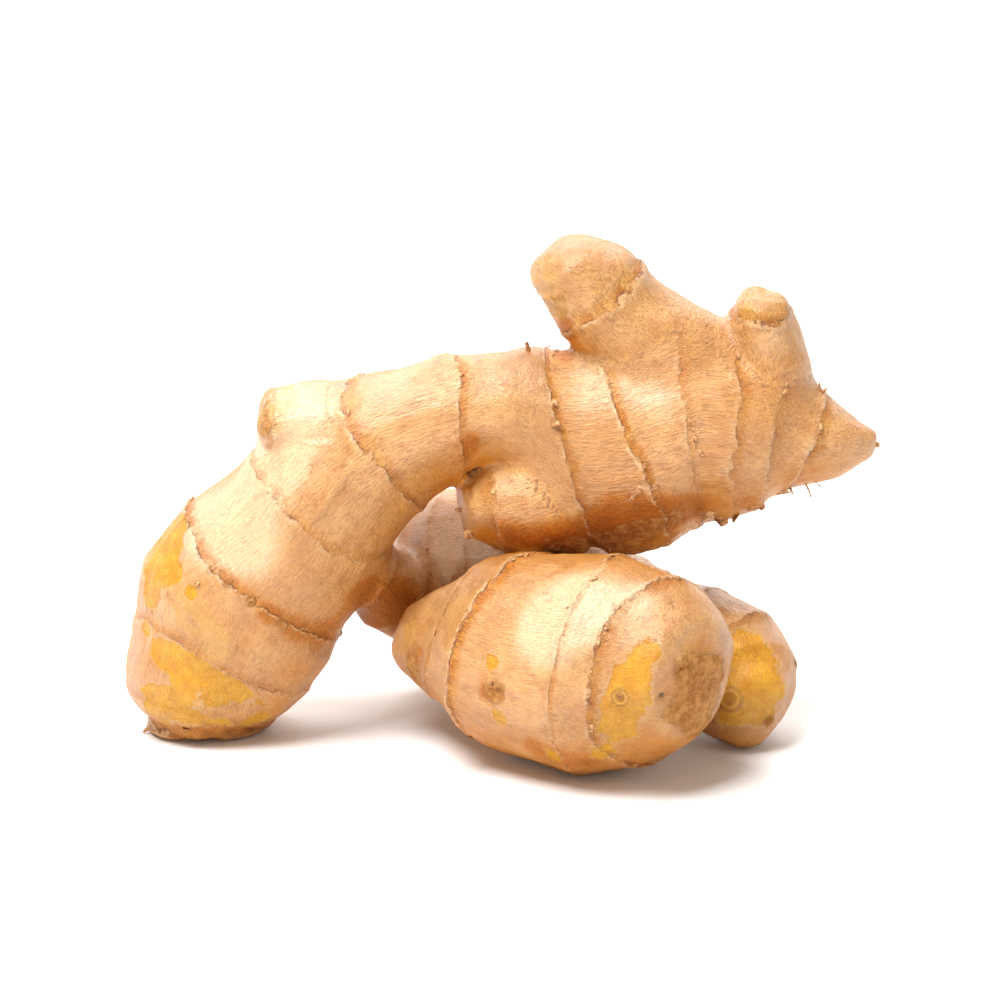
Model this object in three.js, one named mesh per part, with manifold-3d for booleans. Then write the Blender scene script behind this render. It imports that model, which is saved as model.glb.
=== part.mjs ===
// A fresh ginger root: one rhizome of swollen, ringed lobes that grew as a single piece.
// Its thick leg stands on a broken end, arches up and over into a broad body with two fingers and
// a pointed tip, and a short neck joins the leg to a rear lobe that carries two low front lobes.
// Millimetres, +Z up, X along the root's length, -Y towards its front.
// The origin is on the surface it rests on, under the middle of its bounding box.
import * as THREE from "three";
import { mergeVertices } from "three/addons/utils/BufferGeometryUtils.js";
import Module from "manifold-3d";

const wasm = await Module();
wasm.setup();

// Growth rings: each old scale leaf left a raised lip round the lobe, with a small step on its tip side.
const LIP_HEIGHT = 0.75;
const LIP_BACK = 1.1;
const LIP_FRONT = 0.7;
const SWELL_HEIGHT = 0.35;
const SWELL_REACH = 3.5;
// Unevenness: broad low lumps on the flesh, and rings that wander along the lobe.
const LUMP_HEIGHT = 0.45;
const LUMP_LENGTH = 17;
const RING_WANDER = 0.7;
// Loops of vertices between two stations of a lobe, and in the rounded tip of one.
const LOOPS_BETWEEN = 2;
const LOOPS_IN_TIP = 4;
const TANGENT_STEP = 0.02;
// A dried root scar: a low button with a sunken middle, and how far it reaches into the flesh.
const SCAR_RADIUS = 2.6;
const SCAR_HEIGHT = 0.7;
const SCAR_DIMPLE = 0.4;
const SCAR_DEPTH = 2;
const SCAR_SIDES = 12;
// The leg's broken foot is hollowed from front to back, so its left and right edges carry it.
const HOLLOW_RADIUS = 20;
const HOLLOW_HEIGHT = 1.3;
const HOLLOW_X = -66;
// What stands below the surface is trimmed to small flat spots that the root rests on.
const TRIM_SIZE = 400;
const SKIN_COLOUR = 0xd9a066;

// A station of a lobe: its middle (x, y, z), the half chord across it seen from the front (acrossX,
// acrossZ), its half depth, and how far its front leans towards the lobe's tip. A growth ring runs
// round the lobe at a ring station; a plain one only shapes the flesh.
const plain = (...numbers) => ({ numbers, ring: false });
const ring = (...numbers) => ({ numbers, ring: true });

// Each lobe runs from where it grew to its tip. tip is how far its rounded end stands past the last
// station, startTip the same before the first, blunt above 2 makes the tip flatter, and sides is the
// number of corners of its loops.
const lobes = {
  legArchAndBody: {
    sides: 26,
    startTip: 6,
    tip: 1.5,
    blunt: 2,
    stations: [
      plain(-66, 13, 1.5, -12.5, 0, 10.5, 0),
      ring(-67, 13, 7, -16, 3.5, 15, 0),
      plain(-64.5, 12.5, 13, -18.5, 6, 17.5, 1.5),
      ring(-62, 12.5, 18.5, -18.6, 9, 18.5, 3),
      plain(-58.5, 12.5, 28.5, -20.5, 11.5, 19.5, 0),
      ring(-52, 12.5, 38, -16.6, 14, 19.5, -3),
      plain(-45.5, 12.5, 45, -16, 12.5, 19, -3),
      ring(-39, 12.5, 53.5, -14.5, 11, 18, -3.5),
      plain(-32, 12.5, 61, -11.5, 13, 17, -3),
      ring(-24, 12.5, 67, -8, 13.5, 15.5, -3),
      plain(-16.5, 12.5, 70, -5, 13, 14, 0),
      ring(-10, 12.5, 72, -1, 13.5, 13, 2.5),
      plain(-1, 12.5, 74, 0, 12.5, 13, 0),
      plain(6.5, 12.5, 70, -2.5, 17.5, 14, -2),
      ring(17.5, 12.5, 64.5, -8.5, 23, 17, -3),
      ring(28, 12.5, 65.5, -8.7, 21.2, 18, 2.5),
      plain(36, 12.5, 68, -6, 20.5, 18.5, 0),
      ring(43, 12.5, 70.5, -1.5, 21.5, 18.5, -4),
      ring(50, 12, 70.3, -0.5, 19.4, 17.5, 1.5),
      ring(59.5, 11.5, 68.8, 3, 15.9, 15, 0),
      ring(66.5, 10.5, 67, 4.5, 10.5, 10.5, 1.5),
      plain(75, 9.5, 66.2, 2, 6.8, 7.5, 0),
      plain(80.5, 9, 67, 0.5, 3.3, 4, 0),
    ],
  },
  topFinger: {
    sides: 20,
    tip: 6.5,
    blunt: 2.3,
    stations: [
      plain(41.5, 12.5, 78.5, -14.5, -9.5, 14.5, 0),
      plain(35, 12.5, 87, -12, -8, 14, 0),
      plain(26.9, 13, 93.8, -9.5, -6.6, 13.5, 0),
      ring(21.9, 12.5, 98.8, -8.8, -6.9, 12.5, 0.5),
      plain(18.3, 12, 103.3, -8, -6.5, 12, 0),
      plain(15.8, 11.5, 105.1, -7, -5.4, 11, 0),
    ],
  },
  smallFinger: {
    sides: 18,
    tip: 4,
    blunt: 2.4,
    stations: [
      plain(59.6, 11.5, 77, -9.8, -1.5, 12, 0),
      ring(58.4, 11, 86, -8.2, -0.5, 11, 0),
      plain(57.3, 10.5, 92.5, -7.5, 0, 10.2, 0),
      ring(56.7, 10, 96.2, -5.6, 0, 8.6, 0),
    ],
  },
  shoulderKnob: {
    sides: 16,
    tip: 3.4,
    blunt: 2.1,
    stations: [
      plain(-29, 12.5, 67.5, -1, 11.5, 14, 0),
      plain(-40, 12, 71.5, 0.5, 9, 11.5, 0),
      ring(-49.6, 11, 71.2, 0.5, 6.8, 9, 0),
    ],
  },
  lowKnob: {
    sides: 18,
    tip: 3,
    blunt: 2.2,
    stations: [
      plain(16, 11.5, 57.5, -3, 16, 16, 0),
      plain(4, 10.5, 54.3, -1.5, 12.2, 14.5, 0),
      ring(-2.5, 10, 53.3, -1.5, 9.6, 12.3, -1),
      plain(-6, 9.5, 52.8, -1, 7, 9.5, 0),
    ],
  },
  neck: {
    sides: 18,
    tip: 4,
    blunt: 2,
    stations: [
      plain(-38, 13, 43, 5, 6.5, 8, 0),
      ring(-29.5, 18, 35.5, 5.6, 4.5, 8, 0),
      ring(-25, 24, 30, 6.8, 5.5, 9.5, 0),
      plain(-20, 30, 26.8, 7, 8.2, 12, 0),
      plain(-14, 32, 25, 4.5, 13, 14, 0),
    ],
  },
  rearLobe: {
    sides: 22,
    startTip: 5,
    tip: 7,
    blunt: 2,
    stations: [
      plain(-21, 40, 27.5, 0, 17, 13.5, 0),
      ring(-14, 39, 27.8, 0, 21, 16.3, 0),
      ring(-4, 37, 28.5, -0.5, 21.5, 18, 0),
      plain(8, 34, 28.5, -1, 20.5, 18, 0),
      ring(20.5, 33, 26.5, -1, 16.5, 16, 0),
      plain(28.5, 32, 24.5, 0, 11.5, 13, 0),
    ],
  },
  rearFoot: {
    sides: 16,
    tip: 9,
    blunt: 2,
    stations: [
      plain(2, 37, 26, 17, 2, 14, 0),
      ring(2, 40, 15, 15.5, 1.5, 13.5, 0),
      plain(3, 42, 7, 12.5, 1, 11.5, 0),
    ],
  },
  frontJoint: {
    sides: 12,
    tip: 2,
    blunt: 2,
    stations: [
      plain(6, 30, 25, 13, 1, 12, 0),
      plain(5, 12, 22.5, 13, 0, 12, 0),
      plain(5, -4, 22, 13, 0, 13, 0),
    ],
  },
  rightLobe: {
    sides: 20,
    tip: 4.5,
    blunt: 2.3,
    stations: [
      plain(28.5, 33, 27.5, 2, 8, 11, 0),
      ring(34, 27, 24.5, 2, 8, 9, 0),
      ring(43.5, 18, 21.5, 6.5, 9.5, 12.5, 0),
      ring(51.5, 10, 16, 7.5, 11, 13.5, 0),
      ring(54.5, 3, 12, 7.6, 10.3, 11.4, 0),
      plain(55.2, -1.3, 10.3, 6, 8, 8.6, 0),
    ],
  },
  frontLobe: {
    sides: 26,
    startTip: 3.5,
    tip: 4.5,
    blunt: 2.1,
    stations: [
      plain(-19.5, 9, 22.2, 0, 8, 7, 0),
      plain(-13, 6, 24.5, 3, 12, 11.5, 0),
      ring(-5.5, 2.5, 27, 6, 16, 15, -1),
      ring(5.5, -5.5, 24, 2, 21.6, 20.5, -5),
      ring(22, -15, 24, 2.5, 23.5, 22.5, 3.5),
      ring(32.5, -24, 25, 2, 20, 19, -2),
      plain(38.5, -30, 26, 1.5, 14.5, 14, 0),
    ],
  },
};

// Root scars on the low lobes: a point on the skin and the way out of it.
const rootScars = [
  { at: [50, -6.7, 13.7], out: [-0.31, -0.91, 0.26] },
  { at: [24.7, -38.4, 24.5], out: [-0.25, -0.96, -0.09] },
  { at: [-1.4, -26.3, 23.2], out: [-0.58, -0.82, -0.03] },
];

// Smooth lumps of the flesh, from -1 to 1, the same wherever two lobes share a place.
function lumps(p) {
  const k = (2 * Math.PI) / LUMP_LENGTH;
  const a = Math.sin(k * p.x + 1.3 * Math.sin(k * 0.6 * p.z));
  const b = Math.sin(k * p.z * 0.9 + 1.1 * Math.sin(k * 0.7 * p.y) + 2.1);
  const c = Math.sin(k * p.y * 1.1 + 0.9 * Math.sin(k * 0.5 * p.x) + 4.2);
  return (a + b + c) / 3;
}

// How far the skin stands out at a distance from a ring, counted towards the lobe's tip.
function ringRelief(distance) {
  const lip = distance < 0 ? LIP_BACK : LIP_FRONT;
  const lipPart = LIP_HEIGHT * Math.exp(-((distance / lip) ** 2));
  const swellPart = SWELL_HEIGHT * Math.exp(-((distance / SWELL_REACH) ** 2));
  return lipPart + (distance < 0 ? swellPart : 0);
}

// The places of a lobe's loops, counted in stations: evenly between them, and close on a ring's lip.
function loopPlaces(stations, lengths) {
  const places = [];
  stations.forEach((station, i) => {
    const before = i > 0 ? 1 / lengths[i - 1] : 0;
    const after = i < stations.length - 1 ? 1 / lengths[i] : 0;
    if (station.ring && before) places.push(i - LIP_BACK * before);
    places.push(i);
    if (station.ring && after) places.push(i + LIP_FRONT * 1.3 * after);
    for (let j = 1; j < LOOPS_BETWEEN && after; j++)
      places.push(i + j / LOOPS_BETWEEN);
  });
  return places.sort((a, b) => a - b);
}

// A lobe as one closed skin of loops, rounded off at both ends.
function lobeGeometry({ stations, sides, tip, blunt, startTip = 2 }) {
  const last = stations.length - 1;
  const size = stations[0].numbers.length;
  const samples = stations.flatMap((s) => s.numbers);
  const smooth = new THREE.CubicInterpolant(stations.map((_, i) => i), samples, size, []);
  const section = (place) => smooth.evaluate(THREE.MathUtils.clamp(place, 0, last)).slice();
  const middleAt = (place) => new THREE.Vector3(...section(place).slice(0, 3));
  const tangentAt = (place) => {
    const from = middleAt(Math.max(place - TANGENT_STEP, 0));
    return middleAt(Math.min(place + TANGENT_STEP, last)).sub(from).normalize();
  };
  const lengths = stations.slice(1).map((_, i) => middleAt(i + 1).distanceTo(middleAt(i)));
  const along = (place) => {
    const whole = Math.min(Math.floor(place), last - 1);
    return lengths.slice(0, whole).reduce((a, b) => a + b, 0) + (place - whole) * lengths[whole];
  };
  const ringsAt = stations.map((s, i) => (s.ring ? along(i) : null)).filter((s) => s !== null);

  // One loop: shrink is 1 on the lobe and falls to 0 over a rounded end, shift moves it along.
  const loop = (place, shrink = 1, shift = 0) => {
    const middle = middleAt(place);
    const tangent = tangentAt(place);
    const [acrossX, acrossZ, deep, lean] = section(place).slice(3);
    const across = new THREE.Vector3(acrossX, 0, acrossZ);
    const front = new THREE.Vector3().crossVectors(tangent, across).normalize();
    if (front.y > 0) front.negate();
    const relief = Math.max(...ringsAt.map((at) => ringRelief(along(place) - at)), 0);
    return Array.from({ length: sides }, (_, i) => {
      const angle = (2 * Math.PI * i) / sides;
      const out = across.clone().multiplyScalar(Math.cos(angle));
      out.addScaledVector(front, deep * Math.sin(angle));
      const radius = out.length();
      const stand = radius + relief + LUMP_HEIGHT * lumps(middle.clone().add(out));
      const wander = RING_WANDER * Math.sin(3 * angle + 1.7 * place);
      const slide = shift + shrink * (lean * Math.sin(angle) + wander);
      return middle
        .clone()
        .addScaledVector(out, (stand * shrink) / radius)
        .addScaledVector(tangent, slide);
    });
  };
  const capLoops = (place, reach, power) =>
    Array.from({ length: LOOPS_IN_TIP - 1 }, (_, i) => {
      const rise = Math.sin(((i + 1) / LOOPS_IN_TIP) * (Math.PI / 2));
      return loop(place, (1 - rise ** power) ** (1 / power), reach * rise);
    });
  const pole = (place, reach) => middleAt(place).addScaledVector(tangentAt(place), reach);

  const loops = [
    ...capLoops(0, -startTip, 2).reverse(),
    ...loopPlaces(stations, lengths).map((place) => loop(place)),
    ...capLoops(last, tip, blunt),
  ];
  const corners = [pole(0, -startTip), ...loops.flat(), pole(last, tip)];
  const corner = (row, i) => 1 + row * sides + (i % sides);
  const faces = [];
  for (let i = 0; i < sides; i++) {
    faces.push(0, corner(0, i + 1), corner(0, i));
    faces.push(corners.length - 1, corner(loops.length - 1, i), corner(loops.length - 1, i + 1));
  }
  for (let row = 0; row < loops.length - 1; row++)
    for (let i = 0; i < sides; i++) {
      faces.push(corner(row, i), corner(row, i + 1), corner(row + 1, i));
      faces.push(corner(row, i + 1), corner(row + 1, i + 1), corner(row + 1, i));
    }
  return new THREE.BufferGeometry().setFromPoints(corners).setIndex(faces);
}

// A three.js shape as a manifold-3d solid, its faces turned outwards.
function solid(geometry) {
  const bare = geometry.clone();
  bare.deleteAttribute("normal");
  bare.deleteAttribute("uv");
  const merged = mergeVertices(bare, 1e-4);
  const triVerts = new Uint32Array(merged.index.array);
  const vertProperties = new Float32Array(merged.attributes.position.array);
  const made = new wasm.Manifold(new wasm.Mesh({ numProp: 3, vertProperties, triVerts }));
  if (made.volume() > 0) return made;
  return new wasm.Manifold(
    new wasm.Mesh({ numProp: 3, vertProperties, triVerts: triVerts.reverse() }),
  );
}

// The solid's own skin as three.js geometry.
function skin(whole) {
  const mesh = whole.getMesh();
  const position = new Float32Array(mesh.numVert * 3);
  for (let i = 0; i < mesh.numVert; i++)
    position.set(mesh.vertProperties.subarray(i * mesh.numProp, i * mesh.numProp + 3), i * 3);
  return new THREE.BufferGeometry()
    .setAttribute("position", new THREE.BufferAttribute(position, 3))
    .setIndex(new THREE.BufferAttribute(mesh.triVerts, 1));
}

// A root scar's button, turned to stand out of the skin.
function scarButton({ at, out }) {
  const profile = [
    [0, -SCAR_DEPTH],
    [SCAR_RADIUS, -SCAR_DEPTH],
    [SCAR_RADIUS, SCAR_HEIGHT / 2],
    [SCAR_RADIUS * 0.8, SCAR_HEIGHT],
    [SCAR_RADIUS * 0.55, SCAR_HEIGHT],
    [SCAR_RADIUS * 0.3, SCAR_HEIGHT - SCAR_DIMPLE],
    [0, SCAR_HEIGHT - SCAR_DIMPLE],
  ];
  const button = new THREE.LatheGeometry(
    profile.map(([x, y]) => new THREE.Vector2(x, y)),
    SCAR_SIDES,
  );
  const turn = new THREE.Quaternion().setFromUnitVectors(
    new THREE.Vector3(0, 1, 0),
    new THREE.Vector3(...out).normalize(),
  );
  return solid(button.applyQuaternion(turn).translate(...at));
}

const fleshParts = Object.values(lobes).map((lobe) => solid(lobeGeometry(lobe)));
const grown = [...fleshParts, ...rootScars.map(scarButton)].reduce((whole, piece) => whole.add(piece));
const footHollow = solid(
  new THREE.CylinderGeometry(HOLLOW_RADIUS, HOLLOW_RADIUS, TRIM_SIZE, 36).translate(
    HOLLOW_X,
    0,
    HOLLOW_HEIGHT - HOLLOW_RADIUS,
  ),
);
const underSurface = solid(
  new THREE.BoxGeometry(TRIM_SIZE, TRIM_SIZE, TRIM_SIZE).translate(0, 0, -TRIM_SIZE / 2),
);
const rhizomeShape = skin(grown.subtract(footHollow).subtract(underSurface));
rhizomeShape.computeBoundingBox();
const centre = rhizomeShape.boundingBox.getCenter(new THREE.Vector3());
rhizomeShape.translate(-centre.x, -centre.y, 0);
rhizomeShape.computeVertexNormals();

const skinMaterial = new THREE.MeshStandardMaterial({
  name: "ginger_skin",
  color: SKIN_COLOUR,
  roughness: 0.62,
  metalness: 0,
});
const rhizome = new THREE.Mesh(rhizomeShape, skinMaterial);
rhizome.name = "rhizome";

const root = new THREE.Group();
root.add(rhizome);
export default root;
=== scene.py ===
"""A fresh ginger root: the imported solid's skin made fine, with rings, scars, peeled spots and shreds."""

import math
import random

import bmesh
import bpy
import numpy as np
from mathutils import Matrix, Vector
from mathutils.bvhtree import BVHTree


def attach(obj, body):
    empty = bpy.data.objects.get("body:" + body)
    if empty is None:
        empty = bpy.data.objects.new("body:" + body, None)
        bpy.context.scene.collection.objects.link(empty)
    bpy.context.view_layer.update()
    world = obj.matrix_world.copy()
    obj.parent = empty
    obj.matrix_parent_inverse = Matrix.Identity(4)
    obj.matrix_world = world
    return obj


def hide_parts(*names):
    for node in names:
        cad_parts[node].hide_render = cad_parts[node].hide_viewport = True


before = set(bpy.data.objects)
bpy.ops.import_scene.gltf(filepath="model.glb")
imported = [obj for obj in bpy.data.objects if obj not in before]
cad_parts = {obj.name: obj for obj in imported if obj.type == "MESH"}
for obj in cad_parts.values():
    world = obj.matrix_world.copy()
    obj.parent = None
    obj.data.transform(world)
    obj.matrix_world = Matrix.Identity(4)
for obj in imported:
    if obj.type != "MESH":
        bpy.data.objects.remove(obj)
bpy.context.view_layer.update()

MM = 0.001
SEED = 7
# The side of the skin's faces in millimetres.
VOXEL = 0.85
# How many rounds smooth the solid's facets, the creases between lobes, and the bases of the branches.
FACET_ROUNDS, CREASE_ROUNDS, BASE_ROUNDS = 15, 10, 24

# The root's lobes in millimetres, from where each grew to its tip. A row is a section's middle (x, y, z), its
# half chord across as seen from the front (x, z), its half depth, how far its front leans to the tip, and
# how marked the growth ring round it is, or 0 for none. SHIFT brings these numbers into the part's frame.
SHIFT = np.array([0.7, -7.67, 0.0])
LOBES = {
    "stem": [
        (-66, 13, 1.5, -12.5, 0, 10.5, 0, 0.8),
        (-67, 13, 7, -16, 3.5, 15, 4, 0.5),
        (-64.5, 12.5, 13, -18.5, 6, 17.5, 1.5, 0),
        (-62, 12.5, 18.5, -18.6, 9, 18.5, 3, 0.45),
        (-58.5, 12.5, 28.5, -20.5, 11.5, 19.5, 0, 0),
        (-52, 12.5, 38, -16.6, 14, 19.5, -3, 0.9),
        (-45.5, 12.5, 45, -16, 12.5, 19, -3, 0),
        (-39, 12.5, 53.5, -14.5, 11, 18, -3.5, 0.6),
        (-32, 12.5, 61, -11.5, 13, 17, -3, 0),
        (-24, 12.5, 67, -8, 13.5, 15.5, -3, 0.7),
        (-16.5, 12.5, 70, -5, 13, 14, 0, 0),
        (-10, 12.5, 72, -1, 13.5, 13, 2.5, 0.7),
        (-1, 12.5, 74, 0, 12.5, 13, 0, 0),
        (6.5, 12.5, 70, -2.5, 17.5, 14, -2, 0),
        (17.5, 12.5, 64.5, -8.5, 23, 17, -3, 0.75),
        (28, 12.5, 65.5, -8.7, 21.2, 18, 2.5, 1),
        (36, 12.5, 68, -6, 20.5, 18.5, 0, 0),
        (43, 12.5, 70.5, -1.5, 21.5, 18.5, -4, 0.45),
        (50, 12, 70.3, -0.5, 19.4, 17.5, 1.5, 0.6),
        (59.5, 11.5, 68.8, 3, 15.9, 15, 0, 0.5),
        (66.5, 10.5, 67, 4.5, 10.5, 10.5, 1.5, 0.8),
        (75, 9.5, 66.2, 2, 6.8, 7.5, 0, 0),
        (80.5, 9, 67, 0.5, 3.3, 4, 0, 0),
    ],
    "top_finger": [
        (41.5, 12.5, 78.5, -14.5, -9.5, 14.5, 0, 0),
        (35, 12.5, 87, -12, -8, 14, 0, 0),
        (26.9, 13, 93.8, -9.5, -6.6, 13.5, 0, 0),
        (21.9, 12.5, 98.8, -8.8, -6.9, 12.5, 0.5, 0.8),
        (18.3, 12, 103.3, -8, -6.5, 12, 0, 0),
        (15.8, 11.5, 105.1, -7, -5.4, 11, 0, 0),
    ],
    "small_finger": [
        (59.6, 11.5, 77, -9.8, -1.5, 12, 0, 0),
        (58.4, 11, 86, -8.2, -0.5, 11, 0, 0.15),
        (57.3, 10.5, 92.5, -7.5, 0, 10.2, 0, 0),
        (56.7, 10, 96.2, -5.6, 0, 8.6, 0, 0.7),
    ],
    "shoulder_knob": [
        (-29, 12.5, 67.5, -1, 11.5, 14, 0, 0),
        (-40, 12, 71.5, 0.5, 9, 11.5, 0, 0),
        (-49.6, 11, 71.2, 0.5, 6.8, 9, 0, 0.4),
    ],
    "low_knob": [
        (16, 11.5, 57.5, -3, 16, 16, 0, 0),
        (4, 10.5, 54.3, -1.5, 12.2, 14.5, 0, 0),
        (-2.5, 10, 53.3, -1.5, 9.6, 12.3, -1, 0.6),
        (-6, 9.5, 52.8, -1, 7, 9.5, 0, 0),
    ],
    "neck": [
        (-38, 13, 43, 5, 6.5, 8, 0, 0),
        (-29.5, 18, 35.5, 5.6, 4.5, 8, 0, 0.5),
        (-25, 24, 30, 6.8, 5.5, 9.5, 0, 0.5),
        (-20, 30, 26.8, 7, 8.2, 12, 0, 0),
        (-14, 32, 25, 4.5, 13, 14, 0, 0),
    ],
    "rear_lobe": [
        (-21, 40, 27.5, 0, 17, 13.5, 0, 0),
        (-14, 39, 27.8, 0, 21, 16.3, 0, 0.35),
        (-4, 37, 28.5, -0.5, 21.5, 18, 0, 0.4),
        (8, 34, 28.5, -1, 20.5, 18, 0, 0),
        (20.5, 33, 26.5, -1, 16.5, 16, 0, 0.35),
        (28.5, 32, 24.5, 0, 11.5, 13, 0, 0),
    ],
    "rear_foot": [
        (2, 37, 26, 17, 2, 14, 0, 0),
        (2, 40, 15, 15.5, 1.5, 13.5, 0, 0.5),
        (3, 42, 7, 12.5, 1, 11.5, 0, 0),
    ],
    "front_joint": [
        (6, 30, 25, 13, 1, 12, 0, 0),
        (5, 12, 22.5, 13, 0, 12, 0, 0),
        (5, -4, 22, 13, 0, 13, 0, 0),
    ],
    "right_lobe": [
        (28.5, 33, 27.5, 2, 8, 11, 0, 0),
        (34, 27, 24.5, 2, 8, 9, 0, 0.7),
        (43.5, 18, 21.5, 6.5, 9.5, 12.5, 0, 0.5),
        (51.5, 10, 16, 7.5, 11, 13.5, 0, 0.6),
        (54.5, 3, 12, 7.6, 10.3, 11.4, 0, 0.4),
        (55.2, -1.3, 10.3, 6, 8, 8.6, 0, 0),
    ],
    "front_lobe": [
        (-19.5, 9, 22.2, 0, 8, 7, 0, 0),
        (-13, 6, 24.5, 3, 12, 11.5, 0, 0),
        (-5.5, 2.5, 27, 6, 16, 15, -1, 0.5),
        (5.5, -5.5, 24, 2, 21.6, 20.5, -5, 1),
        (22, -15, 24, 2.5, 23.5, 22.5, 3.5, 0.6),
        (32.5, -24, 25, 2, 20, 19, -2, 0.8),
        (38.5, -30, 26, 1.5, 14.5, 14, 0, 0),
    ],
}

# Spots on the skin in the part's frame: (x, y, z, radius) in millimetres.
# Where the skin has rubbed off and the yellow flesh shows.
PEELED = [
    (-72, -2, 45, 5), (-71, -2, 50, 3), (-74, -5, 40, 4), (-75, -5, 34, 3), (-70, -9, 40, 2),
    (-66, -12, 37, 1.6), (-77, -5, 27, 2), (-74, -9, 23, 2.6), (-71, -11, 22.5, 3), (-66, -13, 21, 3.6),
    (-61, -14, 18, 3.8), (-56, -13, 14, 3.2), (-68, -12, 17, 2), (-61, -13, 13, 2), (-51, -11, 10, 2.4),
    (-76, -8, 12, 3.4), (-71, -10, 11, 4), (-66, -11, 8, 3), (-60, -10, 7, 2.2), (-55, -7, 6, 2),
    (-52, -6, 7, 1.8), (-74, -7, 6, 2.5), (26, -47, 23, 4.6), (28, -47, 29, 3.6), (31, -46, 34, 2.4),
    (25, -44, 17, 3.6), (22, -40, 10, 2.6), (-1, -33, 28, 2), (1, -33, 16, 2.2), (12, -36, 8, 2),
    (57, -10, 21, 4.6), (53, -14, 16, 4.2), (59, -13, 15, 3.6), (51, -15, 10, 3.4), (54, -8, 25, 3),
    (58, -12, 9, 2.4), (-39, 26, 52, 5), (-45, 27, 46, 4), (23, 29, 72, 5), (30, 29, 69, 4), (11, 49, 30, 6),
    (3, 46, 38, 4),
]
# Where the skin is thin and yellowish, at the tips of young lobes.
YELLOWISH = [
    (-49, 0, 76, 4), (-49, -5, 73, 3.6), (-48, 2, 78, 3.4), (54, -4, 99, 3.6), (59, -3, 98, 3),
    (57, 3, 101, 5), (11, -1, 106, 4), (8, -2, 101, 3.4), (13, -3, 98, 3), (10, -2, 94, 2.5),
    (-19, -8, 27, 3.2), (-67, -13, 33, 5), (-60, -15, 26, 4), (-64, -12, 14, 5), (45, -2, 29, 4),
    (49, -6, 30, 3), (38, -43, 33, 3),
]
# Painted highlights: pale satin spots where the key light's sheen falls, on the lit upper faces of the leg,
# arch, body, fingers and front lobe.
PAINTED_HIGHLIGHT_SPOTS = [
    (-59, -9, 50, 8), (-65, -5, 51, 5), (-53, -13, 47, 5), (-42, -3, 78, 7), (-46, -5, 67, 8),
    (-50, -5, 63, 5), (-22, -2, 82, 5), (13, -36, 40, 8), (9, -38, 34, 4), (18, -37, 43, 6), (22, -8, 81, 6),
    (35, -11, 79, 4), (59, -7, 91, 4), (30, -38, 43, 3),
]
# Where it is brown, rough and corky.
CORKY = [
    (26, -9, 47, 4), (32, -9, 50, 4.4), (38, -9, 53, 2.4), (18, -7, 46, 4), (12, -6, 45, 3), (2, -3, 45, 3),
    (31, 4, 44, 7), (19, 5, 42, 7), (43, 4, 48, 5), (-18, -11, 21, 3.4), (-18, -9, 17, 3), (39, -43, 30, 4),
    (43, -40, 27, 4.4), (42, -41, 19, 4.4), (37, -44, 21, 3.4), (43, -38, 14, 3.6), (44, -37, 24, 5),
    (-7, -8, 66, 1.6), (-6, -8, 60, 1.4), (-46, -14, 30, 1.6), (-53, -15, 36, 1.4), (-58, -15, 40, 1.6),
    (19, 24, 50, 5), (59, 24, 62, 4), (56, -4, 55, 2), (46, -6, 52, 2.4), (63, -3, 58, 2), (0, -34, 22, 3),
    (59, -11, 8, 2), (62, -7, 11, 2), (-50, 0, 75, 2.6), (-50, -4, 72, 2.6),
]
# Where it has orange-brown stains and is still smooth.
STAINED = [
    (-50, -15, 34, 3.4), (-43, -13, 29, 4), (-38, -7, 25, 4), (-28, 4, 30, 8), (-24, 8, 24, 8),
    (-34, -2, 38, 5), (-6, -7, 70, 3), (-6, -8, 63, 3.4), (-12, -4, 56, 4), (24, -9, 52, 7), (33, -9, 55, 6),
    (12, -7, 48, 6), (43, -8, 55, 5), (54, -6, 57, 4), (63, -2, 61, 4), (34, 8, 32, 7), (38, 3, 27, 5),
    (-2, -33, 22, 4), (-16, -12, 22, 5), (41, -42, 26, 6), (7, -36, 8, 6), (20, -38, 6, 6), (36, -36, 8, 5),
    (55, -2, 96, 3), (2, -9, 51, 4), (16, -3, 94, 3), (13, -2, 91, 3),
]
# Small dark pits: the middle and radius of each.
PITS = [
    (-6.6, -3, 59.5, 0.8), (-5.8, -2, 60.6, 1), (-4.8, -1.2, 61.5, 0.9), (-3.6, -1, 62.1, 0.9),
    (-2.4, -1.3, 62.8, 0.8), (34, -47, 25, 0.9), (0.6, -34.4, 22.3, 1.3), (41, -43, 20, 0.6),
    (38, -45, 30, 0.5), (43, -41, 26, 0.6), (-19, -10, 19, 0.6),
]
# Round root scars: the middle of each and its radius.
ROOT_SCARS = [(50.7, -14.4, 13.7, 2.6), (25.4, -46.1, 24.5, 1.9)]

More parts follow.
